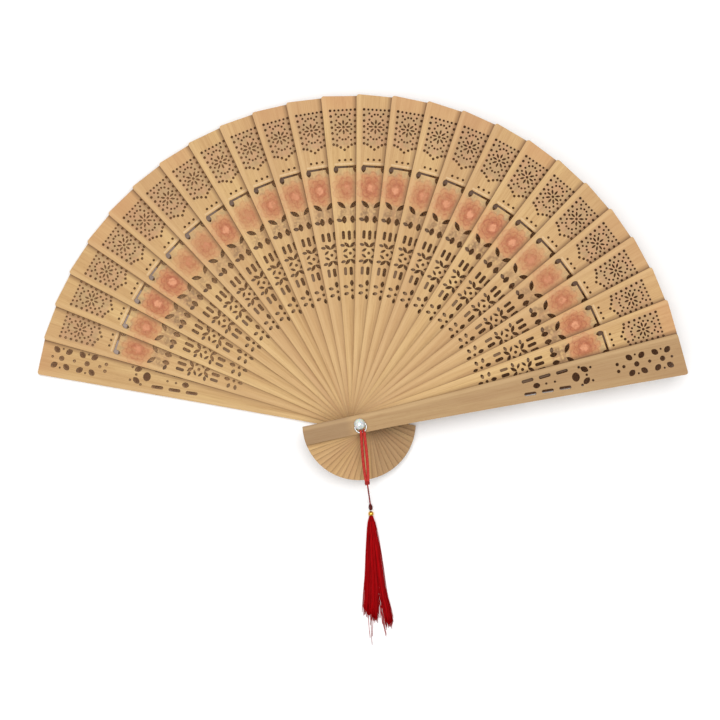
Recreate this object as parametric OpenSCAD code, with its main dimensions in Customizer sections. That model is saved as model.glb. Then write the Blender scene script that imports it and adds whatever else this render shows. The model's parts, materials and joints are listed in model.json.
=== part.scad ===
// Brise hand fan: thin pierced wooden leaves between two guards, turning on one pin, with a
// ribbon that ties each leaf to the next and a red tassel on a cord.
// The origin is on the pin's axis, at the back face of the back guard. +Z is the pin's axis,
// towards the front guard, and +Y is the middle of the open fan.
// Each leaf is drawn along +X, from the pin at the origin to its tip, then turned into place.
// Its left side, seen from the front with the tip up, is +Y. All lengths are in millimetres.

/* [Fan] */
// Number of thin leaves between the two guards
leaf_count = 24; // [18:1:24]
// Angle from one guard's centre line to the other's, in degrees
open_angle = 155.5; // [140:0.5:158]
// Distance from the pin's axis to a leaf's tip
tip_r = 169; // [166:1:175]
// Distance from the pin's axis to the rounded butt
butt_r = 29; // [26:0.1:30]
// Slope of a leaf's tip, left end furthest out, in degrees
tip_slope = 2.5; // [0:0.5:6]

/* [Leaves] */
// Thickness of a thin leaf
leaf_t = 0.7; // [0.6:0.1:1]
// Thickness of a guard
guard_t = 2.2; // [2:0.1:3]
// Clearance between one leaf and the next
leaf_gap = 0.12; // [0.1:0.01:0.2]
// Width of a leaf at the pin
root_w = 9.5; // [9:0.1:10]
// Width of a leaf at its tip
tip_w = 21.5; // [21:0.1:24]

/* [Ribbon] */
// Width of the ribbon
ribbon_w = 3.6; // [3:0.1:4.5]
// Thickness of the ribbon
ribbon_t = 0.06; // [0.04:0.01:0.08]
// Distance from the pin's axis to the ribbon's centre line
ribbon_r = 131.4; // [131:0.1:132]

/* [Pin] */
// Diameter of the pin through the leaves
pin_d = 3; // [2.6:0.1:3.4]
// Diameter of the white cap on the pin
cap_d = 5.6; // [5:0.1:6.4]
// Diameter of the wire of the cord's ring
wire_d = 0.8; // [0.6:0.1:1]
// Diameter of the cord's ring, to the middle of its wire
ring_d = 5.8; // [5:0.1:6.4]

/* [Cord and tassel] */
// Diameter of the cord
cord_d = 1.1; // [0.8:0.1:1.2]
// Distance from the pin's axis to the knot
knot_r = 44.2; // [42:0.1:48]
// Diameter of the bead
bead_d = 2.8; // [2.4:0.1:3.2]
// Length of the tassel's threads
tassel_l = 55; // [45:1:60]
// Width of the tassel's open end
tassel_w = 14; // [10:1:16]

/* [Hidden] */
$fn = 48;

pitch = open_angle / (leaf_count + 1);
back_angle = 90 + open_angle / 2;
layer = leaf_t + leaf_gap;
stack_z = guard_t + leaf_gap;
front_z = stack_z + leaf_count * layer;
top_z = front_z + guard_t;

// The outline of a leaf or guard: it is straight from the butt to flare_r, then widens along a
// curve. The larger its flare, the later it widens. Its tip is rounded at both corners.
flare_r = 15;
leaf_flare = 1.45;
guard_flare = 1.08;
side_steps = 14;
side_end = 4;
front_tip_slope = -3;
back_tip_slope = 0;
corner_r = 1.3;
corner_turn = 88;
corner_steps = 5;
butt_steps = 12;

// The pin: a flat head sunk in the back guard, a shank and a thinner neck under the cap.
hole_d = pin_d + 0.2;
head_d = 5.2;
head_t = 0.8;
sink_d = 5.8;
sink_t = 1;
neck_d = 1.8;
ring_gap = 0.1;
neck_t = wire_d + 2 * ring_gap;
cap_t = 2;
dimple_d = 1.6;
dimple_t = 0.25;

// The cord: its two strands leave the ring, part, meet past the butts and drop to the table.
ring_heading = -69;
ring_reach = (ring_d - wire_d - neck_d) / 2 - 0.05;
ring_z = top_z + ring_gap + wire_d / 2;
cord_heading = -82.5;
cord_z = top_z + 0.2 + cord_d / 2;
cord_start = (ring_reach + ring_d / 2 + wire_d / 2 + 0.1 + cord_d / 2) * heading(ring_heading);
cord_meet = 30 * heading(cord_heading);
loop_w = 4;
table_gap = 0.2;
knot_z = table_gap + bead_d / 2;
knot_d = 2.3;
knot_l = 3.2;
bead_hole_d = 0.8;
bead_gap = 0.1;
tassel_heading = -88;
tassel_t = 4;
tassel_neck_w = 2.4;
tassel_neck_l = 3;

RIBBONS = leaf_count + 1;

// A name with a number of two figures
function numbered(name, i) = str(name, "_", i < 10 ? "0" : "", i);

// A step of one millimetre in the direction of an angle
function heading(angle) = [cos(angle), sin(angle)];

// The direction of the centre line of leaf i, counted from the back guard
function leaf_angle(i) = back_angle - i * pitch;

// The height of the back face of leaf i
function leaf_z(i) = i == 0 ? 0 : stack_z + (i - 1) * layer;

// Half the width of a leaf at a distance from the pin
function half_w(r, flare = leaf_flare) =
    root_w / 2 + (tip_w - root_w) / 2 * pow(max(0, r - flare_r) / (tip_r - flare_r), flare);

// Points along an arc
function arc(centre, radius, from, to, steps) =
    [for (i = [0 : steps]) centre + radius * heading(from + (to - from) * i / steps)];

// The middle of the rounded corner on one side of the tip: side is 1 on the left
function corner_centre(side, flare, slope) =
    let (r = tip_r - corner_r - 1, y = half_w(r, flare) - corner_r)
    [r + side * y * tan(slope), side * y];

module outline(flare, slope) {
    step = (tip_r - flare_r - side_end) / side_steps;
    sides = [for (i = [0 : side_steps - 1]) flare_r + i * step];
    butt_half = asin(root_w / 2 / butt_r);
    polygon(concat(
        arc([0, 0], butt_r, 180 - butt_half, 180 + butt_half, butt_steps),
        [for (r = sides) [r, -half_w(r, flare)]],
        arc(corner_centre(-1, flare, slope), corner_r, -corner_turn, -slope, corner_steps),
        arc(corner_centre(1, flare, slope), corner_r, -slope, corner_turn, corner_steps),
        [for (i = [side_steps - 1 : -1 : 0]) [sides[i], half_w(sides[i], flare)]]
    ));
}

// The children on the left side of a leaf and their mirror image on the right
module both_sides() {
    children();
    mirror([0, 1, 0]) children();
}

// A pointed oval, the overlap of two equal circles
module petal(length, width) {
    bow = (length * length + width * width) / (4 * width);
    intersection() {
        translate([0, bow - width / 2]) circle(bow);
        translate([0, width / 2 - bow]) circle(bow);
    }
}

// A slot with round ends
module slot(length, width) {
    square([length - width, width], center = true);
    for (end = [-1, 1])
        translate([end * (length - width) / 2, 0]) circle(d = width);
}

// Round holes evenly spaced around an oval
module oval_of_holes(count, along, across, hole) {
    for (i = [0 : count - 1]) {
        turn = 360 / count * (i + 0.5);
        translate([along * cos(turn), across * sin(turn)]) circle(d = hole);
    }
}

// Petals that point out from a centre
module star_of_petals(count, reach, length, width) {
    for (i = [0 : count - 1])
        rotate(360 / count * i) translate([reach, 0]) petal(length, width);
}

// The wide panel near the tip: a pierced frame around a flower in an oval of holes
module tip_panel_cuts() {
    hole = 1.4;
    small_hole = 1.15;
    rows = 7;
    row_step = 2.9;
    low_r = 143.4;
    high_r = low_r + (rows - 1) * row_step;
    mid_r = (low_r + high_r) / 2;
    for (row = [0 : rows - 1]) {
        r = low_r + row * row_step;
        both_sides() translate([r, half_w(r) - 3.9]) circle(d = hole);
    }
    for (y = [-4.2 : 2.1 : 4.2])
        translate([high_r, y]) circle(d = small_hole);
    both_sides() {
        translate([low_r - 0.5, 3.7]) circle(d = hole);
        translate([low_r - 1.6, 1.9]) circle(d = hole);
    }
    translate([low_r - 2.9, 0]) circle(d = hole);
    translate([mid_r, 0]) {
        circle(d = hole);
        star_of_petals(8, 2.5, 2.6, 1.05);
        oval_of_holes(16, 6.4, 4.1, small_hole);
        for (end = [-1, 1])
            both_sides() translate([end * 6.7, 3.6]) circle(d = small_hole);
    }
}

// Three holes in a row, over a bracket whose legs run down beside the painted flower
module bracket_cuts() {
    dot_r = 135.2;
    bar_r = 131.7;
    leg_y = 5;
    for (y = [-2.95, 0, 2.95])
        translate([dot_r, y]) circle(d = 1.3);
    translate([bar_r, 0]) rotate(90) slot(2 * leg_y, 1.1);
    both_sides() translate([bar_r - 1.2, leg_y]) petal(4, 2.4);
}

// Two pairs of leaf shapes below the painted flower
module leaf_spray_cuts() {
    both_sides() {
        translate([112.3, 3.2]) rotate(50) petal(5.4, 2.2);
        translate([104.7, 2.1]) petal(4, 2.4);
        translate([104.5, 4.6]) rotate(72) petal(3, 1.8);
    }
}

// The narrow panel: a wheel in a lattice, between two rows of upright slots
module root_panel_cuts() {
    mid_r = 87.4;
    translate([96.6, 0]) slot(4.9, 1.7);
    both_sides() translate([96.8, 3]) slot(4.4, 1.6);
    translate([78.3, 0]) slot(4.4, 1.7);
    both_sides() translate([78.3, 2.9]) slot(4.2, 1.5);
    translate([mid_r, 0]) {
        circle(d = 1.6);
        both_sides() {
            for (end = [-1, 1]) {
                translate([end * 4.3, 1.4]) rotate(end * 45) petal(3.9, 1.7);
                translate([end * 4.2, 3.7]) rotate(end * 75) petal(2.6, 1.5);
                translate([end * 1.5, 2.4]) rotate(end * -55) petal(3, 1.3);
            }
        }
    }
}

// The small flower that ends the piercing
module bud_cuts() {
    translate([72.1, 0]) petal(3.2, 1.9);
    translate([68.4, 0]) circle(d = 1.5);
    translate([65, 0]) petal(2.8, 1.5);
    both_sides() {
        translate([70.4, 3.1]) rotate(75) petal(2.6, 1.7);
        translate([66.8, 3]) rotate(105) petal(2.6, 1.7);
    }
}

// A thin leaf, lying flat with its back face on z = 0
module thin_leaf() {
    linear_extrude(leaf_t) difference() {
        outline(leaf_flare, tip_slope);
        circle(d = hole_d);
        tip_panel_cuts();
        bracket_cuts();
        leaf_spray_cuts();
        root_panel_cuts();
        bud_cuts();
    }
}

module leaf(i) {
    color("burlywood") translate([0, 0, leaf_z(i)]) rotate(leaf_angle(i)) thin_leaf();
}

// One of the two flowers near a guard's tip
module guard_flower_cuts() {
    circle(d = 2.7);
    both_sides() {
        for (end = [-1, 1])
            translate([end * 3.2, 4]) rotate(end * 40) petal(3.9, 2.9);
        translate([0, 4.9]) circle(d = 1.1);
    }
    translate([-6.7, 0]) circle(d = 1.7);
}

// The flower with a large heart in the middle of a guard
module guard_heart_cuts() {
    rotate(90) petal(4.8, 4);
    both_sides() {
        translate([5, 3]) rotate(-35) petal(4.4, 2.8);
        translate([2.4, 4.6]) circle(d = 1.4);
        translate([8.2, 3.4]) circle(d = 1.3);
    }
    translate([5.6, 0]) circle(d = 1.3);
}

// The long frame of dashes, with a bud at its lower end
module guard_frame_cuts() {
    for (r = [88, 97, 106])
        both_sides() translate([r, half_w(r, guard_flare) - 4]) rotate(4) slot(6.2, 1.7);
    translate([92, 0]) petal(3.7, 2.8);
    for (r = [97, 101.5])
        translate([r, 0]) circle(d = 1.2);
}

// A guard, lying flat with its back face on z = 0
module guard_plate(slope) {
    linear_extrude(guard_t) difference() {
        outline(guard_flare, slope);
        circle(d = hole_d);
        for (r = [144, 157.4])
            translate([r, 0]) guard_flower_cuts();
        translate([162.2, 0]) circle(d = 1.4);
        both_sides() translate([134.2, 1.8]) circle(d = 1.8);
        translate([112.4, 0]) guard_heart_cuts();
        guard_frame_cuts();
    }
}

module back_guard() {
    color("tan") difference() {
        rotate(back_angle) guard_plate(back_tip_slope);
        translate([0, 0, -1]) cylinder(d = sink_d, h = 1 + sink_t);
    }
}

module front_guard() {
    color("tan") translate([0, 0, front_z]) rotate(leaf_angle(leaf_count + 1))
        guard_plate(front_tip_slope);
}

// The length of ribbon glued to the back of leaf i, reaching left over the leaf below it
module ribbon(i) {
    inset = 0.5;
    reach = half_w(ribbon_r - ribbon_w / 2) - inset;
    z = leaf_z(i) - leaf_gap / 2 - ribbon_t / 2;
    color("lightsteelblue") translate([0, 0, z]) rotate(leaf_angle(i))
        translate([ribbon_r - ribbon_w / 2, -1]) cube([ribbon_w, reach + 1, ribbon_t]);
}

module pivot_pin() {
    color("silver") {
        translate([0, 0, sink_t - head_t]) cylinder(d = head_d, h = head_t);
        translate([0, 0, sink_t]) cylinder(d = pin_d, h = top_z - sink_t);
        translate([0, 0, top_z]) cylinder(d = neck_d, h = neck_t);
    }
}

// A low dome with a small dimple in its top
module pivot_cap() {
    dome_r = (cap_d * cap_d / 4 + cap_t * cap_t) / (2 * cap_t);
    color("ghostwhite") translate([0, 0, top_z + neck_t]) difference() {
        intersection() {
            cylinder(d = cap_d, h = cap_t);
            translate([0, 0, cap_t - dome_r]) sphere(dome_r);
        }
        translate([0, 0, cap_t - dimple_t]) cylinder(d = dimple_d, h = dimple_t + 1);
    }
}

module cord_ring() {
    centre = ring_reach * heading(ring_heading);
    color("gainsboro") translate([centre[0], centre[1], ring_z])
        rotate_extrude() translate([ring_d / 2, 0]) circle(d = wire_d);
}

// A plain rod between two points
module rod(from, to, d) {
    along = to - from;
    tilt = acos(along[2] / norm(along));
    translate(from) rotate([0, tilt, atan2(along[1], along[0])]) cylinder(d = d, h = norm(along));
}

// A long loop of cord from the ring to past the butts, and one cord from there to the knot
module cord_loop() {
    span = cord_meet - cord_start;
    middle = (cord_start + cord_meet) / 2;
    drop_xy = (knot_r - knot_l / 2 - 0.6) * heading(cord_heading);
    color("crimson") {
        translate([middle[0], middle[1], cord_z]) rotate(atan2(span[1], span[0]))
            linear_extrude(cord_d, center = true) difference() {
                petal(norm(span) + cord_d, loop_w);
                petal(norm(span) - 4 * cord_d, loop_w - 2 * cord_d);
            }
        rod([cord_meet[0], cord_meet[1], cord_z], [drop_xy[0], drop_xy[1], knot_z], cord_d);
    }
}

// A knot that lies on the table, its ends rounded so that the bead can turn about one of them
module cord_knot() {
    centre = knot_r * heading(cord_heading);
    color("darkred") translate([centre[0], centre[1], knot_z]) rotate(cord_heading) intersection() {
        rotate([0, 90, 0]) cylinder(d = knot_d, h = knot_l, center = true);
        linear_extrude(knot_d, center = true) slot(knot_l, knot_d);
    }
}

// Places the children on the table where the tassel turns: the middle of the knot's far end
module at_tassel() {
    centre = (knot_r + (knot_l - knot_d) / 2) * heading(cord_heading);
    translate([centre[0], centre[1], table_gap]) rotate(tassel_heading) children();
}

module tassel_bead() {
    reach = knot_d / 2 + bead_gap + bead_d / 2;
    color("goldenrod") at_tassel() translate([reach, 0, bead_d / 2]) rotate([0, 90, 0]) difference() {
        sphere(d = bead_d);
        cylinder(d = bead_hole_d, h = 2 * bead_d, center = true);
    }
}

// A flat sheaf of threads that spreads from its bound neck to its open end
module tassel_skirt() {
    start = knot_d / 2 + bead_d + 2 * bead_gap;
    color("red") at_tassel() translate([start, 0, 0]) linear_extrude(tassel_t) polygon([
        [0, -tassel_neck_w / 2],
        [tassel_neck_l, -tassel_neck_w / 2],
        [tassel_l, -tassel_w / 2],
        [tassel_l, tassel_w / 2],
        [tassel_neck_l, tassel_neck_w / 2],
        [0, tassel_neck_w / 2]
    ]);
}

back_guard();
front_guard();
for (i = [1 : leaf_count])
    leaf(i);
for (i = [1 : RIBBONS])
    ribbon(i);
pivot_pin();
pivot_cap();
cord_ring();
cord_loop();
cord_knot();
tassel_bead();
tassel_skirt();
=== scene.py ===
"""Looks for the brise hand fan: painted wood on the leaves, and meshes for ribbon, cord and tassel."""

import json
import math
import random

import bmesh
import bpy
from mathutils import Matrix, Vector


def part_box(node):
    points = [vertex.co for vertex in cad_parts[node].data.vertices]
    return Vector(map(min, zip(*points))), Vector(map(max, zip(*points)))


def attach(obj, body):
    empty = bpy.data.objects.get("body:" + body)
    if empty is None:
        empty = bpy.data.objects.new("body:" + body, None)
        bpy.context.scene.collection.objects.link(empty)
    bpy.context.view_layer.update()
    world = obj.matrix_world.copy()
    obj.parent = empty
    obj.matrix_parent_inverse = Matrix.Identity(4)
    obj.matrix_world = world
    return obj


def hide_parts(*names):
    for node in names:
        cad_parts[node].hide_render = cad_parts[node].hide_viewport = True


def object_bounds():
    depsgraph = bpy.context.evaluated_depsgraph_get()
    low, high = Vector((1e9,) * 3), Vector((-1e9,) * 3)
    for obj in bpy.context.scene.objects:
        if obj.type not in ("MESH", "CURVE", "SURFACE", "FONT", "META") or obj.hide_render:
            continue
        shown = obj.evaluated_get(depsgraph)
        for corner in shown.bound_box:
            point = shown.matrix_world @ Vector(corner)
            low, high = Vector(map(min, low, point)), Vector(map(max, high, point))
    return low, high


MM = 0.001
UP = Vector((0, 0, 1))
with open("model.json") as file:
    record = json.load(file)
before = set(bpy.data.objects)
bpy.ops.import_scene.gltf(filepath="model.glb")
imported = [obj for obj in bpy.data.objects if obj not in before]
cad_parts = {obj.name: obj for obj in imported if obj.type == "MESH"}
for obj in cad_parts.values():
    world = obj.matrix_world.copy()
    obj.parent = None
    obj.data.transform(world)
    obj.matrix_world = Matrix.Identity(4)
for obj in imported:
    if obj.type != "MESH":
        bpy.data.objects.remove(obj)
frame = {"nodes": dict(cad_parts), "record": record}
cad_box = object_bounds()
rng = random.Random(7)

JOINTS = {j["name"]: j for j in frame["record"]["behaviour"]["joints"]}
OPEN_DEG = JOINTS["fan_fold"]["range_deg"][1]
LEAF_NAMES = sorted(n for n in frame["nodes"] if n.startswith("leaf_"))
RIBBON_NAMES = sorted(n for n in frame["nodes"] if n.startswith("ribbon_"))

# A leaf's outline in millimetres: half its width at the pin, how much that grows, from where, over
# what length, and the powers of the curves along which leaves and guards widen
ROOT_HALF = 4.75
FLARE = 6.0
FLARE_START = 15.0
FLARE_LENGTH = 154.0
LEAF_FLARE = 1.45
GUARD_FLARE = 1.08

# Places along a leaf, in millimetres from the pin
TIP = 168.0
PIERCED_TO = 163.5
PANEL = (142.4, 161.2)
PALE_LINE = (132.9, 133.7)
UPPER_SPRAY = (127.4, 130.8)
FLOWER_GROUND = (113.0, 128.4)
FLOWER_MIDDLE = 120.8
SPRAY_LEAVES = (107.3, 111.0)
LOWER_SPRAY = (103.5, 112.6)

# The printed flower's rings of petals, from the outside in: radius and inner radius in millimetres,
# petals, how far the ring is turned, and how strongly it is printed
PETAL_RINGS = ((7.7, 4.8, 9, 0.4, 0.66), (5.5, 2.9, 7, 1.3, 0.74), (3.4, 1.5, 5, 0.0, 0.8))


def fan_angle(leaf):
    """The direction of a leaf's or guard's centre line at rest, in radians from +X."""
    folded = 0.0
    if leaf == "front_guard":
        folded = OPEN_DEG
    elif leaf.startswith("leaf_"):
        folded = JOINTS[leaf + "_turn"]["range_deg"][1]
    return math.radians(90 + OPEN_DEG / 2 - folded)


def box_middle(node):
    """The middle of a CAD node's box."""
    low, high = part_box(node)
    return (Vector(low) + Vector(high)) / 2


def eased(t):
    """A smooth rise from nought to one, flat outside that span."""
    t = min(1.0, max(0.0, t))
    return t * t * (3 - 2 * t)


# ---------------------------------------------------------------- shader helpers


class Nodes:
    """A material's node tree, with short calls for the nodes used here."""

    def __init__(self, name):
        self.material = bpy.data.materials.new(name)
        self.material.use_nodes = True
        self.tree = self.material.node_tree
        self.tree.nodes.clear()
        self.surface = self.add("ShaderNodeBsdfPrincipled")
        output = self.add("ShaderNodeOutputMaterial")
        self.tree.links.new(self.surface.outputs["BSDF"], output.inputs["Surface"])

    def add(self, kind, **settings):
        node = self.tree.nodes.new(kind)
        for key, value in settings.items():
            setattr(node, key, value)
        return node

    def put(self, socket, value):
        """Links a socket to an input, or stores a plain value in it."""
        if isinstance(value, bpy.types.NodeSocket):
            self.tree.links.new(value, socket)
        else:
            socket.default_value = value

    def math(self, operation, *values):
        """The result of a sum or function of sockets and plain numbers."""
        node = self.add("ShaderNodeMath", operation=operation)
        for socket, value in zip(node.inputs, values):
            self.put(socket, value)
        return node.outputs[0]

    def times(self, first, *others):
        """The product of all that is given."""
        for other in others:
            first = self.math("MULTIPLY", first, other)
        return first

    def step(self, value, low, high, start=0.0, end=1.0):
        """A smooth step from start to end as value goes from low to high."""
        node = self.add("ShaderNodeMapRange", interpolation_type="SMOOTHSTEP")
        for socket, number in zip(node.inputs, (value, low, high, start, end)):
            self.put(socket, number)
        return node.outputs[0]

    def band(self, value, low, high, soft):
        """One between low and high, fading to nothing over soft on each side."""
        rise = self.step(value, low - soft, low + soft)
        fall = self.step(value, high - soft, high + soft, 1.0, 0.0)
        return self.times(rise, fall)

    def mix(self, factor, a, b):
        """The first colour where the factor is nought, and the second where it is one."""
        node = self.add("ShaderNodeMix", data_type="RGBA")
        # The node's colour sockets come after its number and vector sockets, under the same names
        first_colour, second_colour, colour_result = 6, 7, 2
        self.put(node.inputs[0], factor)
        self.put(node.inputs[first_colour], a)
        self.put(node.inputs[second_colour], b)
        return node.outputs[colour_result]

    def attribute(self, name):
        """A number kept on the object as a custom property."""
        node = self.add("ShaderNodeAttribute", attribute_type="OBJECT", attribute_name=name)
        return node.outputs["Fac"]

    def split(self, vector):
        """A vector's three components."""
        node = self.add("ShaderNodeSeparateXYZ")
        self.put(node.inputs[0], vector)
        return node.outputs[0], node.outputs[1], node.outputs[2]

    def place_mm(self):
        """The place in the object's own space, in millimetres."""
        return self.scaled(self.add("ShaderNodeTexCoord").outputs["Object"], (1 / MM,) * 3)

    def scaled(self, vector, factors, shift=None):
        """A vector times a factor for each component, then moved by the shift."""
        node = self.add("ShaderNodeVectorMath", operation="MULTIPLY_ADD")
        self.put(node.inputs[0], vector)
        node.inputs[1].default_value = factors
        if shift is not None:
            self.put(node.inputs[2], shift)
        return node.outputs[0]

    def noise(self, vector, scale=1.0, detail=3.0, roughness=0.5, distortion=0.0):
        """Smooth noise from nought to one."""
        node = self.add("ShaderNodeTexNoise")
        self.put(node.inputs["Vector"], vector)
        node.inputs["Scale"].default_value = scale
        node.inputs["Detail"].default_value = detail
        node.inputs["Roughness"].default_value = roughness
        node.inputs["Distortion"].default_value = distortion
        return node.outputs["Fac"]

    def bump(self, height, distance, strength=1.0):
        """Roughens the surface's shading by a height, one standing for the distance."""
        node = self.add("ShaderNodeBump")
        self.put(node.inputs["Height"], height)
        node.inputs["Distance"].default_value = distance
        node.inputs["Strength"].default_value = strength
        self.put(self.surface.inputs["Normal"], node.outputs["Normal"])

    def finish(self, colour, roughness, **others):
        """Sets the surface's inputs, with _ for a space in their names, and gives the material."""
        self.put(self.surface.inputs["Base Color"], colour)
        self.put(self.surface.inputs["Roughness"], roughness)
        for name, value in others.items():
            self.put(self.surface.inputs[name.replace("_", " ")], value)
        return self.material


def srgb(red, green, blue):
    """A linear colour from 0 to 255 display values."""

    def linear(v):
        v = v / 255
        return v / 12.92 if v <= 0.04045 else ((v + 0.055) / 1.055) ** 2.4

    return (linear(red), linear(green), linear(blue), 1.0)


# ---------------------------------------------------------------- wood


def leaf_space(n):
    """Millimetres along a leaf from the pin, and across it, whichever way the leaf points."""
    place = n.add("ShaderNodeTexCoord").outputs["Object"]
    turn = n.add("ShaderNodeVectorRotate", rotation_type="Z_AXIS")
    n.put(turn.inputs["Vector"], place)
    n.put(turn.inputs["Angle"], n.math("MULTIPLY", n.attribute("leaf_turn"), -1.0))
    return n.scaled(turn.outputs[0], (1 / MM,) * 3)


def seed_shift(n):
    """A different offset into the noise for each leaf."""
    shift = n.add("ShaderNodeCombineXYZ")
    seed = n.attribute("leaf_seed")
    for socket, factor in zip(shift.inputs, (311.0, 173.0, 57.0)):
        n.put(socket, n.math("MULTIPLY", seed, factor))
    return shift.outputs[0]


def half_width(n, along, flare):
    """Half a leaf's width in millimetres, which grows along a curve from the flare to the tip."""
    share = n.math("DIVIDE", n.math("SUBTRACT", along, FLARE_START), FLARE_LENGTH)
    share = n.math("MAXIMUM", share, 0.0)
    return n.math("MULTIPLY_ADD", n.math("POWER", share, flare), FLARE, ROOT_HALF)


def cover_depth(n, along, across):
    """How far a point lies out from under the next leaf up, in millimetres; below nought is under it."""
    pitch = math.radians(OPEN_DEG / (len(LEAF_NAMES) + 1))
    up_along = n.math("MULTIPLY_ADD", across, -math.sin(pitch), n.math("MULTIPLY", along, math.cos(pitch)))
    up_across = n.math("MULTIPLY_ADD", along, math.sin(pitch), n.math("MULTIPLY", across, math.cos(pitch)))
    width = half_width(n, up_along, n.attribute("cover_flare"))
    return n.math("SUBTRACT", n.math("ABSOLUTE", up_across), width)


def petal_ring(n, under, reach, angle, radius, inner, petals, phase, level):
    """One ring of a printed flower's petals: pale at their rounded ends, deep red where they start."""
    turn = n.math("ABSOLUTE", n.math("COSINE", n.math("MULTIPLY_ADD", angle, petals / 2, phase)))
    edge = n.math("MULTIPLY_ADD", n.math("POWER", turn, 0.6), 0.22 * radius, 0.8 * radius)
    out = n.math("SUBTRACT", reach, edge)
    inside = n.times(n.step(out, -0.25, 0.25, 1.0, 0.0), level)
    pale = n.step(reach, inner, radius)
    tone = n.mix(pale, srgb(160, 80, 46), srgb(200, 136, 90))
    tone = n.mix(n.step(turn, 0.0, 0.35, 0.6, 0.0), tone, srgb(146, 76, 46))
    tone = n.mix(n.times(n.band(out, -0.8, -0.1, 0.2), 0.8), tone, srgb(150, 76, 46))
    return n.mix(inside, under, tone)


def flower_paint(n, wood, along, across, where):
    """The printed peony: three rings of petals round a pale heart, each leaf's a little different."""
    up = n.math("MULTIPLY", n.math("SUBTRACT", along, FLOWER_MIDDLE), 0.9)
    side = n.math("ADD", across, n.math("MULTIPLY_ADD", n.attribute("leaf_seed"), 1.6, -1.2))
    angle = n.math("ARCTAN2", side, up)
    reach = n.math("SQRT", n.math("ADD", n.times(up, up), n.times(side, side)))
    ragged = n.noise(where, 0.8, 3.0, 0.6)
    reach = n.math("ADD", reach, n.math("MULTIPLY_ADD", ragged, 2.4, -1.2))
    patch = n.step(n.noise(where, 0.45, 3.0, 0.6), 0.3, 0.62, 0.5, 1.0)
    level = n.times(n.attribute("leaf_paint"), patch)
    haze = n.times(n.band(along, *FLOWER_GROUND, 1.4), n.attribute("leaf_paint"), 0.6)
    painted = n.mix(haze, wood, srgb(196, 140, 90))
    for *ring, strength in PETAL_RINGS:
        painted = petal_ring(n, painted, reach, angle, *ring, n.times(level, strength))
    heart = n.times(n.step(reach, 1.3, 2.3, 1.0, 0.0), n.step(level, 0.2, 0.9))
    return n.mix(n.times(heart, 0.85), painted, srgb(216, 150, 110))


def spray_paint(n, wood, along, across, where):
    """Faded brown and green leaves printed below and above the flower, and a pale line above them."""
    side = n.math("ABSOLUTE", across)
    level = n.times(n.attribute("leaf_paint"), n.step(n.noise(where, 0.7, 2.0, 0.5), 0.3, 0.6))
    low = n.times(n.band(along, *LOWER_SPRAY, 1.1), n.step(side, 4.6, 6.4, 1.0, 0.0), level)
    curve = n.math("MULTIPLY_ADD", n.times(side, side), 0.12, along)
    leaf = n.times(n.band(curve, *SPRAY_LEAVES, 0.7), n.band(side, 0.9, 5.4, 0.5), level)
    high = n.times(n.band(along, *UPPER_SPRAY, 0.7), n.band(side, 1.2, 6.4, 0.8), level)
    painted = n.mix(n.times(low, 0.55), wood, srgb(146, 102, 76))
    painted = n.mix(n.times(leaf, 0.6), painted, srgb(116, 88, 54))
    painted = n.mix(n.times(high, 0.45), painted, srgb(140, 126, 92))
    line = n.times(n.band(along, *PALE_LINE, 0.25), n.step(side, 5.2, 5.8, 1.0, 0.0))
    return n.mix(n.times(line, 0.6), painted, srgb(214, 184, 142))


def panel_stain(n, wood, along, across, where):
    """A pink and grey stain over the pierced panel at the tip."""
    inset = n.math("SUBTRACT", half_width(n, along, LEAF_FLARE), n.math("ABSOLUTE", across))
    area = n.times(n.band(along, *PANEL, 1.2), n.step(inset, 2.2, 3.6))
    hue = n.mix(n.step(n.noise(where, 0.28, 2.0), 0.4, 0.6), srgb(170, 124, 98), srgb(146, 120, 90))
    return n.mix(n.times(area, 0.42), wood, hue)


def bare_wood(n, where, shift, along):
    """The plain wood's colour, the height of its grain with its pores, and its fibres alone."""
    clouds = n.noise(n.scaled(where, (0.018, 0.09, 0.09), shift), 1.0, 3.0, 0.5)
    fibres = n.noise(n.scaled(where, (0.05, 2.1, 0.7), shift), 1.0, 5.0, 0.62, 0.4)
    streaks = n.noise(n.scaled(where, (0.014, 0.62, 0.3), shift), 1.0, 3.0, 0.5, 0.6)
    pores = n.step(n.noise(n.scaled(where, (0.32, 5.5, 2.0), shift), 1.0, 2.0, 0.5), 0.63, 0.72)
    colour = n.mix(n.step(clouds, 0.3, 0.7), srgb(205, 170, 113), srgb(191, 152, 99))
    colour = n.mix(n.times(n.step(streaks, 0.45, 0.7), 0.4), colour, srgb(172, 131, 79))
    colour = n.mix(n.times(n.step(fibres, 0.42, 0.72), 0.45), colour, srgb(162, 121, 76))
    colour = n.mix(n.times(pores, 0.35), colour, srgb(122, 85, 50))
    warm = n.times(n.step(along, TIP - 18.0, TIP), n.attribute("leaf_warm"), 0.55)
    colour = n.mix(warm, colour, srgb(192, 136, 92))
    colour = n.mix(n.attribute("leaf_shade"), colour, srgb(180, 138, 98))
    return colour, n.math("SUBTRACT", fibres, n.times(pores, 0.5)), fibres


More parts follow.
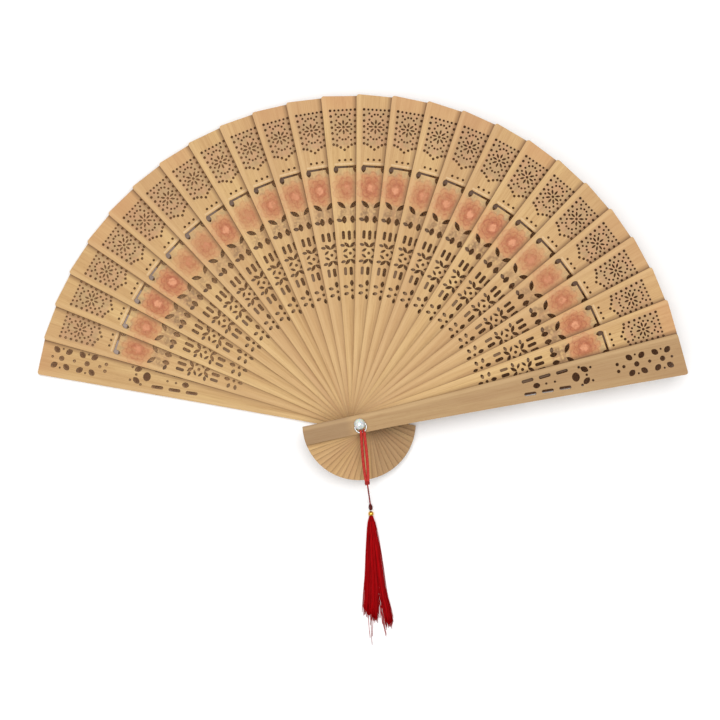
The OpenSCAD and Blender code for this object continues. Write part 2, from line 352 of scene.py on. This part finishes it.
def overlap_shade_and_pale_margin(n, colour, along, across, flare, front):
    """Paints shade on the front under the next leaf up and beside its edge, and pales the other margin."""
    depth = cover_depth(n, along, across)
    level = n.times(n.attribute("leaf_cover"), n.step(along, 30.0, 115.0, 0.3, 1.0), front)
    # Painted shade: darker beside the next leaf's edge, a dark seam along it, and darkest under it
    beside = n.times(n.step(depth, 0.0, 2.9, 1.0, 0.0), level)
    colour = n.mix(n.times(beside, 0.8), colour, srgb(130, 94, 56))
    seam = n.times(n.step(depth, 0.1, 0.9, 1.0, 0.0), level)
    colour = n.mix(n.times(seam, 0.4), colour, srgb(94, 64, 38))
    under = n.times(n.step(depth, -0.5, 0.1, 1.0, 0.0), level)
    colour = n.mix(n.times(under, 0.85), colour, srgb(88, 60, 36))
    inset = n.math("SUBTRACT", half_width(n, along, flare), n.math("ABSOLUTE", across))
    margin = n.times(n.band(inset, 0.5, 2.2, 0.7), n.step(across, 0.0, 1.0))
    return n.mix(n.times(margin, 0.22), colour, srgb(216, 182, 134))


def cut_edges(n, colour, along, across, flare, facing):
    """Tints the sawn outer edges, a different tone for each leaf, and darkens the piercing's walls brown
    as painted shade, so that the holes read dark.
    """
    inset = n.math("SUBTRACT", half_width(n, along, flare), n.math("ABSOLUTE", across))
    wall = n.step(n.math("ABSOLUTE", facing), 0.2, 0.7, 1.0, 0.0)
    below_tip = n.step(along, PIERCED_TO - 0.5, PIERCED_TO + 0.5, 1.0, 0.0)
    pierced = n.times(wall, n.step(inset, 0.8, 1.2), below_tip)
    tone = n.mix(n.attribute("leaf_seed"), srgb(146, 103, 62), srgb(206, 168, 118))
    colour = n.mix(n.times(wall, 0.5), colour, tone)
    # Painted shade: the piercing's walls darker brown
    return n.mix(n.times(pierced, 0.75), colour, srgb(128, 87, 53))


def wood(name, painted, flare):
    """Sanded wood with long fibres, small pores and tinted cut edges, its print on the front only, with
    painted shade on the piercing's walls, on the butt ends, and under and beside the next leaf up.
    """
    n = Nodes(name)
    where = leaf_space(n)
    along, across, _ = n.split(where)
    shift = seed_shift(n)
    colour, grain, fibres = bare_wood(n, where, shift, along)
    # Darker butt ends, painted shade where the front guard shades them, and darker guards overall
    butt_shade = n.times(n.step(along, -8.0, 4.0, 1.0, 0.0), n.attribute("butt_painted_shade"))
    darkening = n.math("MAXIMUM", n.attribute("leaf_darkening"), butt_shade)
    colour = n.mix(darkening, colour, srgb(138, 108, 76))
    facing = n.split(n.add("ShaderNodeNewGeometry").outputs["True Normal"])[2]
    front = n.step(facing, 0.5, 0.9)
    if painted:
        mottle = n.scaled(where, (1.0, 1.0, 0.0), shift)
        print_colour = panel_stain(n, colour, along, across, mottle)
        print_colour = flower_paint(n, print_colour, along, across, mottle)
        print_colour = spray_paint(n, print_colour, along, across, mottle)
        colour = n.mix(front, colour, print_colour)
    # Painted shade under and beside the next leaf up, and a paler other margin
    colour = overlap_shade_and_pale_margin(n, colour, along, across, flare, front)
    colour = cut_edges(n, colour, along, across, flare, facing)
    n.bump(grain, 0.05 * MM, 0.6)
    return n.finish(colour, n.step(fibres, 0.3, 0.8, 0.5, 0.68), Specular_IOR_Level=0.3)


def set_material(node, material):
    """Gives a CAD node one material, and returns its object."""
    obj = frame["nodes"][node]
    obj.data.materials.clear()
    obj.data.materials.append(material)
    return obj


def butt_painted_shade(name):
    """How much the butt end is darkened: painted shade on the leaves that point left, whose butts show on
    the right under the front guard, and darkest on the front guard's butt.
    """
    if name == "front_guard":
        return 0.8
    rises_from, rises_over = math.radians(85), math.radians(25)
    return 0.5 * eased((fan_angle(name) - rises_from) / rises_over)


def dress_wood():
    """Gives every leaf and guard the wood, with its own direction, seed and tint."""
    leaf_wood = wood("leaf_wood", True, LEAF_FLARE)
    guard_wood = wood("guard_wood", False, GUARD_FLARE)
    # How much darker each guard is overall
    guard_darkenings = {"back_guard": 0.08, "front_guard": 0.5}
    for name in ["back_guard"] + LEAF_NAMES + ["front_guard"]:
        obj = set_material(name, leaf_wood if name in LEAF_NAMES else guard_wood)
        obj["leaf_turn"] = fan_angle(name)
        obj["leaf_seed"] = rng.random()
        obj["leaf_paint"] = rng.uniform(0.45, 1.0)
        obj["leaf_cover"] = 0.0 if name == "front_guard" else 1.0
        obj["cover_flare"] = GUARD_FLARE if name == LEAF_NAMES[-1] else LEAF_FLARE
        obj["leaf_darkening"] = guard_darkenings.get(name, 0.0)
        obj["butt_painted_shade"] = butt_painted_shade(name)
        obj["leaf_warm"] = rng.random()
        obj["leaf_shade"] = rng.uniform(0.0, 0.4)


# ---------------------------------------------------------------- metal and plastic


def brushed_metal(name, colour, dark, roughness):
    """Metal with fine scratches and a little tarnish."""
    n = Nodes(name)
    place = n.place_mm()
    scratches = n.noise(n.scaled(place, (9.0, 9.0, 1.2)), 1.0, 4.0, 0.6)
    tarnish = n.step(n.noise(place, 0.8, 3.0, 0.6), 0.45, 0.75)
    n.bump(scratches, 0.01 * MM, 0.5)
    rough = n.math("ADD", n.step(scratches, 0.3, 0.7, roughness - 0.08, roughness + 0.08),
                   n.math("MULTIPLY", tarnish, 0.12))
    return n.finish(n.mix(n.math("MULTIPLY", tarnish, 0.5), colour, dark), rough, Metallic=1.0)


def milky_plastic():
    """The cap's cloudy white plastic."""
    n = Nodes("cap_plastic")
    place = n.place_mm()
    swirl = n.step(n.noise(place, 0.55, 3.0, 0.5, 1.2), 0.35, 0.7)
    n.bump(n.noise(place, 6.0, 2.0), 0.01 * MM, 0.3)
    colour = n.mix(swirl, srgb(240, 243, 238), srgb(205, 216, 212))
    return n.finish(colour, n.step(swirl, 0.0, 1.0, 0.16, 0.26), Transmission_Weight=0.25,
                    Subsurface_Weight=0.3, Subsurface_Scale=0.8 * MM, Coat_Weight=0.6)


def dress_pivot():
    """Gives the pin, ring, bead and cap their metal and plastic."""
    steel = brushed_metal("pin_metal", srgb(196, 196, 194), srgb(120, 112, 100), 0.32)
    brass = brushed_metal("bead_metal", srgb(226, 172, 74), srgb(150, 92, 34), 0.24)
    set_material("pivot_pin", steel)
    set_material("cord_ring", steel)
    set_material("tassel_bead", brass)
    set_material("pivot_cap", milky_plastic())


# ---------------------------------------------------------------- thread, cord and ribbon meshes


def frames_along(points):
    """For each point of a path, two directions square to the path that don't spin round it."""
    result = []
    side = None
    last = len(points) - 1
    for i in range(last + 1):
        ahead = points[min(i + 1, last)] - points[max(i - 1, 0)]
        ahead.normalize()
        if side is None:
            side = ahead.cross(Vector((0, 0, 1)))
            if side.length < 0.1:
                side = ahead.cross(Vector((1, 0, 0)))
        side = (side - ahead * side.dot(ahead)).normalized()
        result.append((side, ahead.cross(side)))
    return result


def skin(mesh, rings):
    """Joins rings of vertices, each to the next, and closes both ends."""
    sides = len(rings[0])
    for a, b in zip(rings, rings[1:]):
        for k in range(sides):
            mesh.faces.new((a[k], a[(k + 1) % sides], b[(k + 1) % sides], b[k]))
    mesh.faces.new(list(reversed(rings[0])))
    mesh.faces.new(rings[-1])


def add_tube(mesh, points, radius, sides=6, taper=1.0):
    """Adds a closed round tube along a path, ending at taper times its radius."""
    rings = []
    last = len(points) - 1
    for i, (point, (u, v)) in enumerate(zip(points, frames_along(points))):
        r = radius * (1 + (taper - 1) * i / last)
        turns = [2 * math.pi * k / sides for k in range(sides)]
        rings.append([mesh.verts.new(point + r * (math.cos(t) * u + math.sin(t) * v)) for t in turns])
    skin(mesh, rings)


def add_twisted(mesh, points, cord_radius, pitch, plies=2, sides=7):
    """Adds a cord of plies wound round each other along an evenly stepped path."""
    ply = cord_radius * 0.58
    for k in range(plies):
        travelled = 0.0
        path = []
        previous = points[0]
        for point, (u, v) in zip(points, frames_along(points)):
            travelled += (point - previous).length
            previous = point
            turn = 2 * math.pi * (travelled / pitch + k / plies)
            path.append(point + (cord_radius - ply) * (math.cos(turn) * u + math.sin(turn) * v))
        add_tube(mesh, path, ply, sides)


def resample(points, step):
    """The same path with points a fixed distance apart."""
    result = [points[0].copy()]
    spare = 0.0
    for a, b in zip(points, points[1:]):
        length = (b - a).length
        at = step - spare
        while at <= length:
            result.append(a.lerp(b, at / length))
            at += step
        spare = (spare + length) % step
    result.append(points[-1].copy())
    return result


def smooth_path(corners, steps=12):
    """A Catmull-Rom curve through the corners."""
    ends = [2 * corners[0] - corners[1]] + corners + [2 * corners[-1] - corners[-2]]
    path = []
    for a, b, c, d in zip(ends, ends[1:], ends[2:], ends[3:]):
        for i in range(steps):
            t = i / steps
            path.append(0.5 * (2 * b + (c - a) * t + (2 * a - 5 * b + 4 * c - d) * t * t
                               + (3 * b - a - 3 * c + d) * t * t * t))
    path.append(corners[-1])
    return path


def new_piece(name, mesh, material, body, slot, *nodes):
    """Turns a bmesh into a smooth-shaded piece that rides on a body in place of CAD nodes."""
    data = bpy.data.meshes.new(name)
    bmesh.ops.recalc_face_normals(mesh, faces=mesh.faces)
    mesh.to_mesh(data)
    mesh.free()
    data.shade_smooth()
    data.materials.append(material)
    piece = bpy.data.objects.new(name, data)
    bpy.context.scene.collection.objects.link(piece)
    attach(piece, body)
    if nodes:
        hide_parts(*nodes)
    return piece


def silk(name, light, dark, gloss, bright_above=0.0):
    """Dyed silk thread: each thread its own tone, with fine fibres, and darker below a height as painted
    shade.
    """
    n = Nodes(name)
    place = n.place_mm()
    island = n.add("ShaderNodeNewGeometry").outputs["Random Per Island"]
    fuzz = n.noise(place, 4.0, 3.0, 0.6)
    tone = n.math("ADD", n.math("MULTIPLY", island, 0.65), n.math("MULTIPLY", fuzz, 0.35))
    n.bump(n.noise(place, 12.0, 2.0, 0.6), 0.03 * MM, 0.5)
    # Painted shade: darker below the given height, where the fan shades the thread
    unshaded = n.step(n.split(place)[2], bright_above - 1.2, bright_above)
    colour = n.mix(n.times(tone, unshaded), dark, light)
    return n.finish(colour, n.step(fuzz, 0.3, 0.7, 0.42, 0.6), Specular_IOR_Level=gloss)


def satin():
    """Grey satin ribbon, woven finely across its width, darker and browner by the object's darkening
    number.
    """
    n = Nodes("ribbon_satin")
    place = n.place_mm()
    weave = n.add("ShaderNodeTexChecker")
    n.put(weave.inputs["Vector"], place)
    weave.inputs["Scale"].default_value = 6.0
    blotch = n.noise(place, 0.7, 2.0)
    n.bump(weave.outputs["Fac"], 0.01 * MM, 0.4)
    colour = n.mix(blotch, srgb(168, 148, 136), srgb(140, 125, 116))
    # Darker brown towards the front guard
    colour = n.mix(n.attribute("ribbon_darkening"), colour, srgb(82, 54, 30))
    return n.finish(colour, n.step(blotch, 0.3, 0.7, 0.45, 0.6), Specular_IOR_Level=0.2)


def ribbon_mesh(node, turn):
    """A thin closed strip over the CAD ribbon's extent, with thinner, slightly wavy selvedges."""
    along = Vector((math.cos(turn), math.sin(turn), 0))
    across = Vector((-math.sin(turn), math.cos(turn), 0))
    corners = [vert.co for vert in frame["nodes"][node].data.vertices]
    near, far = min(c.dot(along) for c in corners), max(c.dot(along) for c in corners)
    right, left = min(c.dot(across) for c in corners), max(c.dot(across) for c in corners)
    low, high = min(c.z for c in corners), max(c.z for c in corners)
    rows, columns = 13, 9
    wave = rng.uniform(0, 2 * math.pi)
    section = [(j / (columns - 1), -1) for j in range(columns)]
    section += [(t, 1) for t, _ in reversed(section)]
    mesh = bmesh.new()
    rings = []
    for i in range(rows):
        s = i / (rows - 1)
        ripple = 0.05 * MM * (1 + math.sin(9 * s + wave))
        ring = []
        for t, face in section:
            reach = near + (far - near) * t - ripple * (2 * t - 1)
            pinch = 0.4 if t in (0, 1) else 1.0
            height = (low + high) / 2 + face * pinch * (high - low) / 2
            place = along * reach + across * (right + (left - right) * s)
            ring.append(mesh.verts.new(place + Vector((0, 0, height))))
        rings.append(ring)
    skin(mesh, rings)
    return mesh


def build_ribbon():
    """A strip for each leaf and for the front guard, darker and browner towards the front guard."""
    material = satin()
    most_darkening, darkening_over = 0.95, 9
    for count, name in enumerate(RIBBON_NAMES):
        body = "front_guard" if name == RIBBON_NAMES[-1] else name.replace("ribbon", "leaf")
        mesh = ribbon_mesh(name, fan_angle(body))
        piece = new_piece("satin_" + name, mesh, material, body, "ribbon", name)
        piece["ribbon_darkening"] = min(most_darkening, count / darkening_over)


# ---------------------------------------------------------------- cord, knot and tassel


def add_whipping(mesh, start, along, length, radius, thread, coils, swell=0.0):
    """Adds thread wound round a level line, its turns wider by swell times the radius in the middle."""
    side = along.cross(UP)
    per_coil = 16
    path = []
    for k in range(coils * per_coil + 1):
        share = k / (coils * per_coil)
        turn = 2 * math.pi * k / per_coil
        r = radius * (1 + swell * math.sin(math.pi * share))
        path.append(start + along * length * share + r * (math.cos(turn) * side + math.sin(turn) * UP))
    add_tube(mesh, path, thread, 8)


def loop_strand(hitch, meet, square, side, wire_r, cord_r):
    """One strand's path: over the ring's wire, out to its own side, and in again to the meeting."""
    start = hitch + square * side * cord_r + UP * (wire_r + cord_r)
    corners = [start]
    for share, bow in ((0.1, 0.85), (0.3, 1.0), (0.55, 1.05), (0.8, 0.85), (1.0, 0.45)):
        point = hitch.lerp(meet, share) + square * side * bow * MM
        point.z = meet.z + 0.12 * MM * math.sin(7 * share + side)
        corners.append(point)
    return smooth_path(corners)


def hitch_path(middle, outward, radius, cord_r):
    """A turn of cord round the ring's wire, flattened where it would sink into the front guard."""
    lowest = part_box("front_guard")[1][2] + cord_r + 0.05 * MM
    steps = 20
    path = []
    for k in range(steps + 1):
        turn = 2 * math.pi * k / steps
        place = middle + radius * (math.sin(turn) * outward + math.cos(turn) * UP)
        place.z = max(place.z, lowest)
        path.append(place)
    return path


def drop_path(meet, heading, knot):
    """The thin cord's path, off the edge of the stack of butts and down to the knot on the table."""
    corners = [meet]
    for forward, down in ((2.2, 1.2), (5.2, 9.5), (8.4, 19.5)):
        corners.append(meet + heading * forward * MM - UP * down * MM)
    return smooth_path(corners + [knot - heading * 1.7 * MM])


def build_cord():
    """The red loop hitched on the ring, and the thinner twist that drops from it to the knot."""
    high = Vector(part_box("cord_loop")[1])
    ring_low, ring_high = (Vector(c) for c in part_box("cord_ring"))
    knot = box_middle("cord_knot")
    ring = (ring_low + ring_high) / 2
    outward = Vector((ring.x, ring.y, 0)).normalized()
    heading = Vector((knot.x, knot.y, 0)).normalized()
    wire_r = (ring_high.z - ring_low.z) / 2
    hitch = ring + outward * ((ring_high.x - ring_low.x) / 2 - wire_r)
    meet = heading * 30 * MM + UP * (high.z - 0.3 * MM)
    along = Vector((meet.x - hitch.x, meet.y - hitch.y, 0)).normalized()
    square = Vector((-along.y, along.x, 0))
    cord_r = 0.8 * MM
    mesh = bmesh.new()
    for side in (-1, 1):
        strand = loop_strand(hitch, meet, square, side, wire_r, cord_r)
        add_twisted(mesh, resample(strand, 0.22 * MM), cord_r, 2.6 * MM, plies=3)
        hook = hitch_path(hitch + square * side * cord_r, outward, wire_r + cord_r, cord_r * 0.8)
        add_twisted(mesh, resample(hook, 0.2 * MM), cord_r * 0.8, 1.6 * MM)
    add_whipping(mesh, meet - heading * 0.7 * MM, heading, 1.7 * MM, 0.95 * MM, 0.26 * MM, 4, 0.2)
    drop = resample(drop_path(meet, heading, knot), 0.22 * MM)
    add_twisted(mesh, drop, 0.42 * MM, 1.4 * MM, plies=3)
    # The cord is painted darker below the loop, as the fan's shade on the thread that drops
    cord = silk("cord_silk", srgb(212, 66, 56), srgb(132, 14, 16), 0.2, meet.z / MM - 1.0)
    new_piece("silk_cord", mesh, cord, "cord", "cord", "cord_loop")
    return heading, knot


def build_knot(heading, knot):
    """A whipping of dark thread round the cord."""
    length, radius = 2.8 * MM, 0.5 * MM
    start = knot - heading * 1.6 * MM
    mesh = bmesh.new()
    add_whipping(mesh, start, heading, length, radius, 0.24 * MM, 7, 0.7)
    add_tube(mesh, [start + heading * length * i / 6 for i in range(7)], radius, 14)
    dark = silk("knot_silk", srgb(104, 30, 22), srgb(54, 14, 10), 0.2)
    new_piece("bound_knot", mesh, dark, "cord", "knot", "cord_knot")


class Sheaf:
    """The tassel's frame: where its threads start, which way they run, and which way they spread."""

    def __init__(self):
        bead = box_middle("tassel_bead")
        skirt = box_middle("tassel_skirt")
        bead_r = Vector(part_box("tassel_bead")[1]).z - bead.z
        self.heading = Vector((skirt.x - bead.x, skirt.y - bead.y, 0)).normalized()
        self.square = Vector((-self.heading.y, self.heading.x, 0))
        self.start = bead + self.heading * bead_r * 0.85
        self.root_z = bead.z / MM

    def point(self, along, across, height):
        """The place so many millimetres along and across the sheaf, at a height over the table."""
        place = self.start + self.heading * along * MM + self.square * across * MM
        place.z = height * MM
        return place


def tassel_thread(sheaf, middle, parting, spread, length):
    """One thread's path, from the bound neck down to the table, then parting from the next lock."""
    steps = 16
    settled_at, parts_from, lowest = 0.35, 0.65, 0.22
    spin = rng.uniform(0, 6.28)
    out = 0.95 * math.sqrt(rng.random())
    root_w = out * math.cos(spin)
    root_z = out * math.sin(spin)
    end_w = middle + rng.gauss(0, spread)
    reach = length + rng.gauss(0, 1.6)
    rest_z = rng.uniform(0.3, 2.2) * (1 - 0.06 * abs(end_w))
    sway = rng.uniform(0.1, 0.45)
    phase = rng.uniform(0, 6.28)
    path = []
    for i in range(steps + 1):
        t = i / steps
        across = root_w + (end_w - root_w) * t ** 0.58 + sway * math.sin(4 * t + phase) * t
        across += parting * eased((t - parts_from) / (1 - parts_from))
        settle = eased(t / settled_at)
        height = (sheaf.root_z + root_z) * (1 - settle) + rest_z * settle
        path.append(sheaf.point(reach * t, across, max(height, lowest)))
    return path


def stray_thread(sheaf, phase):
    """The curling path of a loose thread that lies outside the locks."""
    steps = 18
    end_w = rng.uniform(-8, 6)
    reach = rng.uniform(56, 68)
    path = []
    for i in range(steps + 1):
        t = i / steps
        across = end_w * 0.8 * t + 1.6 * math.sin(5 * t + phase) * t * t
        path.append(sheaf.point(reach * t, across, sheaf.root_z * (1 - min(1, t * 3)) + 0.35))
    return path


def build_tassel():
    """Locks of loose threads from a bound neck, laid on the table and ragged at the end."""
    sheaf = Sheaf()
    # Each lock: share of the threads, place across, further parting at the end, spread, length
    locks = ((0.2, -5.2, -0.6, 0.8, 48), (0.24, -2.5, -0.9, 0.85, 50),
             (0.2, 0.2, -1.5, 0.8, 52), (0.36, 4.0, 1.5, 1.1, 55))
    threads = 460
    strays = 9
    mesh = bmesh.new()
    for share, *lock in locks:
        for _ in range(round(threads * share)):
            add_tube(mesh, tassel_thread(sheaf, *lock), 0.15 * MM, 4, 0.8)
    for phase in range(strays):
        add_tube(mesh, stray_thread(sheaf, phase), 0.17 * MM, 4, 0.7)
    neck = sheaf.point(1.2, 0, sheaf.root_z)
    add_whipping(mesh, neck, sheaf.heading, 1.9 * MM, 1.12 * MM, 0.16 * MM, 5)
    red = silk("tassel_silk", srgb(192, 2, 10), srgb(104, 0, 3), 0.06)
    new_piece("silk_tassel", mesh, red, "tassel", "tassel", "tassel_skirt")


# ---------------------------------------------------------------- studio


def under_fan(n, place):
    """One on the part of the floor that the open fan covers, for a camera that looks down on it: where the
    floor's painted shade goes.
    """
    x, y, _ = n.split(place)
    angle = n.math("ABSOLUTE", n.math("ARCTAN2", x, y))
    reach = n.math("SQRT", n.math("ADD", n.times(x, x), n.times(y, y)))
    # Less than half a guard's width at the tip, so that the covered part ends under the guards
    past_centre_deg = 2.9
    edge = math.radians(OPEN_DEG / 2 + past_centre_deg)
    soft = math.radians(0.3)
    view = n.split(n.add("ShaderNodeNewGeometry").outputs["Incoming"])
    from_above = n.step(view[2], 0.92, 0.97)
    inside = n.step(angle, edge - soft, edge + soft, 1.0, 0.0)
    return n.times(from_above, inside, n.band(reach, 30 * MM, (TIP - 1) * MM, 0.5 * MM))


def floor_paper():
    """White paper, with painted brown shade where it shows through the piercing under the leaves."""
    n = Nodes("floor_paper")
    place = n.add("ShaderNodeTexCoord").outputs["Object"]
    n.bump(n.noise(place, 900.0, 3.0), 0.02 * MM, 0.2)
    open_sky = n.add("ShaderNodeAmbientOcclusion", samples=12)
    open_sky.inputs["Distance"].default_value = 40 * MM
    sky = open_sky.outputs["AO"]
    # Painted shade: brown under the fan, lighter brown where almost no sky reaches
    brown = n.mix(n.step(sky, 0.08, 0.3), srgb(206, 164, 120), srgb(100, 69, 44))
    shaded = n.times(n.step(sky, 0.86, 0.97, 1.0, 0.0), under_fan(n, place))
    return n.finish(n.mix(shaded, srgb(250, 250, 250), brown), 0.9)


def build_floor(low):
    """A wide sheet of paper at a height."""
    mesh = bmesh.new()
    half = 3.0
    corners = [(-half, -half), (half, -half), (half, half), (-half, half)]
    mesh.faces.new([mesh.verts.new((x, y, low)) for x, y in corners])
    data = bpy.data.meshes.new("floor")
    mesh.to_mesh(data)
    mesh.free()
    data.materials.append(floor_paper())
    floor = bpy.data.objects.new("floor", data)
    bpy.context.scene.collection.objects.link(floor)


def add_light(name, place, target, size, watts):
    """A square soft box that faces the target."""
    light = bpy.data.lights.new(name, "AREA")
    light.size = size
    light.energy = watts
    obj = bpy.data.objects.new(name, light)
    obj.location = place
    obj.rotation_euler = (Vector(target) - Vector(place)).to_track_quat("-Z", "Y").to_euler()
    bpy.context.scene.collection.objects.link(obj)


def add_sky(strength):
    """Plain white light from all round."""
    world = bpy.data.worlds.new("studio")
    world.use_nodes = True
    background = world.node_tree.nodes["Background"]
    background.inputs["Color"].default_value = (1, 1, 1, 1)
    background.inputs["Strength"].default_value = strength
    bpy.context.scene.world = world


def add_camera(centre, focus_z, span):
    """A long lens that looks straight down and sees a square of the given span at a height."""
    camera = bpy.data.cameras.new("camera")
    camera.lens = 120
    camera.sensor_width = 36
    camera.clip_start = 0.01
    obj = bpy.data.objects.new("camera", camera)
    obj.location = (centre.x, centre.y, focus_z + span * camera.lens / camera.sensor_width)
    bpy.context.scene.collection.objects.link(obj)
    bpy.context.scene.camera = obj


def build_studio():
    """The floor, two soft boxes, the sky and the camera."""
    low, high = (Vector(c) for c in cad_box)
    centre = (low + high) / 2
    build_floor(low.z - 0.05 * MM)
    add_light("key", (0.1, 0.3, 1.5), centre, 0.9, 14.8)
    add_light("fill", (-0.4, -0.3, 1.4), centre, 1.2, 6.8)
    add_sky(0.445)
    bpy.context.scene.view_settings.view_transform = "Standard"
    add_camera(centre, high.z, 364.5 * MM)


dress_wood()
dress_pivot()
build_ribbon()
cord_heading, knot_place = build_cord()
build_knot(cord_heading, knot_place)
build_tassel()
build_studio()
